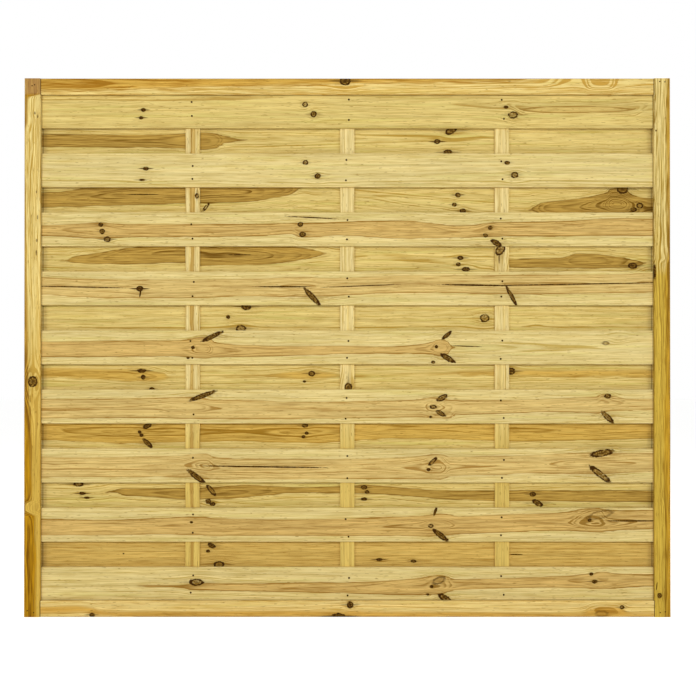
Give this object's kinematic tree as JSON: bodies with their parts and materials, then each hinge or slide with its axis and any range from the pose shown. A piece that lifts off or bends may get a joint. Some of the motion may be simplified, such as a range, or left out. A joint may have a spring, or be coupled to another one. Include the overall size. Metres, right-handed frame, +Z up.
{
  "type": "hit-and-miss fence panel",
  "caption": "Flat timber fence panel: a grooved frame with wide horizontal slats set alternately in front of and behind slim upright battens, closing a bay between posts.",
  "frame": {"origin": "on the left stile's outer face, at its foot, in the middle of its depth", "axes": "+X to the right along the panel, +Y to the rear, +Z up; the front with the nine slats faces -Y"},
  "size_m": [1.8, 0.045, 1.5],
  "materials": {
    "frame_wood": "planed, pressure-treated pine, bare",
    "slat_wood": "planed, pressure-treated pine, bare",
    "batten_wood": "planed, pressure-treated pine, bare"
  },
  "bodies": {
    "root": {"batten_1": "batten_wood", "batten_2": "batten_wood", "batten_3": "batten_wood", "bottom_rail": "frame_wood", "front_slat_1": "slat_wood", "front_slat_2": "slat_wood", "front_slat_3": "slat_wood", "front_slat_4": "slat_wood", "front_slat_5": "slat_wood", "front_slat_6": "slat_wood", "front_slat_7": "slat_wood", "front_slat_8": "slat_wood", "front_slat_9": "slat_wood", "left_stile": "frame_wood", "rear_slat_1": "slat_wood", "rear_slat_2": "slat_wood", "rear_slat_3": "slat_wood", "rear_slat_4": "slat_wood", "rear_slat_5": "slat_wood", "rear_slat_6": "slat_wood", "rear_slat_7": "slat_wood", "rear_slat_8": "slat_wood", "right_stile": "frame_wood", "top_rail": "frame_wood"}
  },
  "joints": []
}
